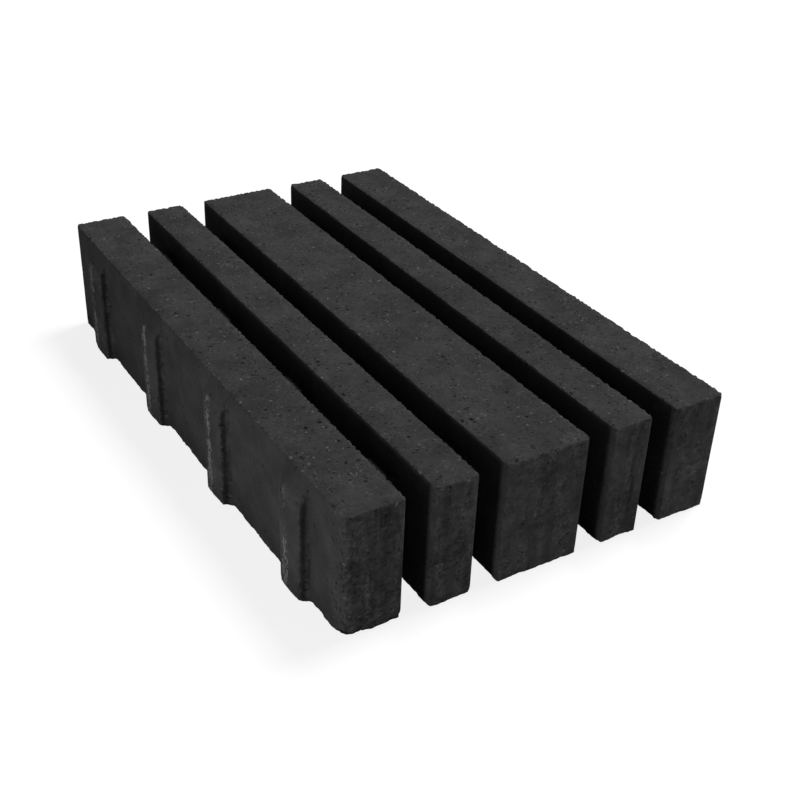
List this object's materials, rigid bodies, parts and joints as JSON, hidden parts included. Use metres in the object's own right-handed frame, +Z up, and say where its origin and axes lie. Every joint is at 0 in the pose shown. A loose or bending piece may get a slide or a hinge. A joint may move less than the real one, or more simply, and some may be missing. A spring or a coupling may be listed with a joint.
{
  "type": "grass paver",
  "caption": "Concrete grass paver: parallel bars of different widths joined by low cross webs, with long slots for grass and spacer nibs on the sides.",
  "frame": {"origin": "middle of the underside, on the bedding", "axes": "+X along the bars, +Y across them, +Z up from the underside to the wearing face"},
  "size_m": [0.6, 0.4, 0.12],
  "materials": {
    "concrete": "anthracite through-coloured concrete, matt, finely pitted"
  },
  "bodies": {
    "root": {"paver": "concrete"}
  },
  "joints": []
}
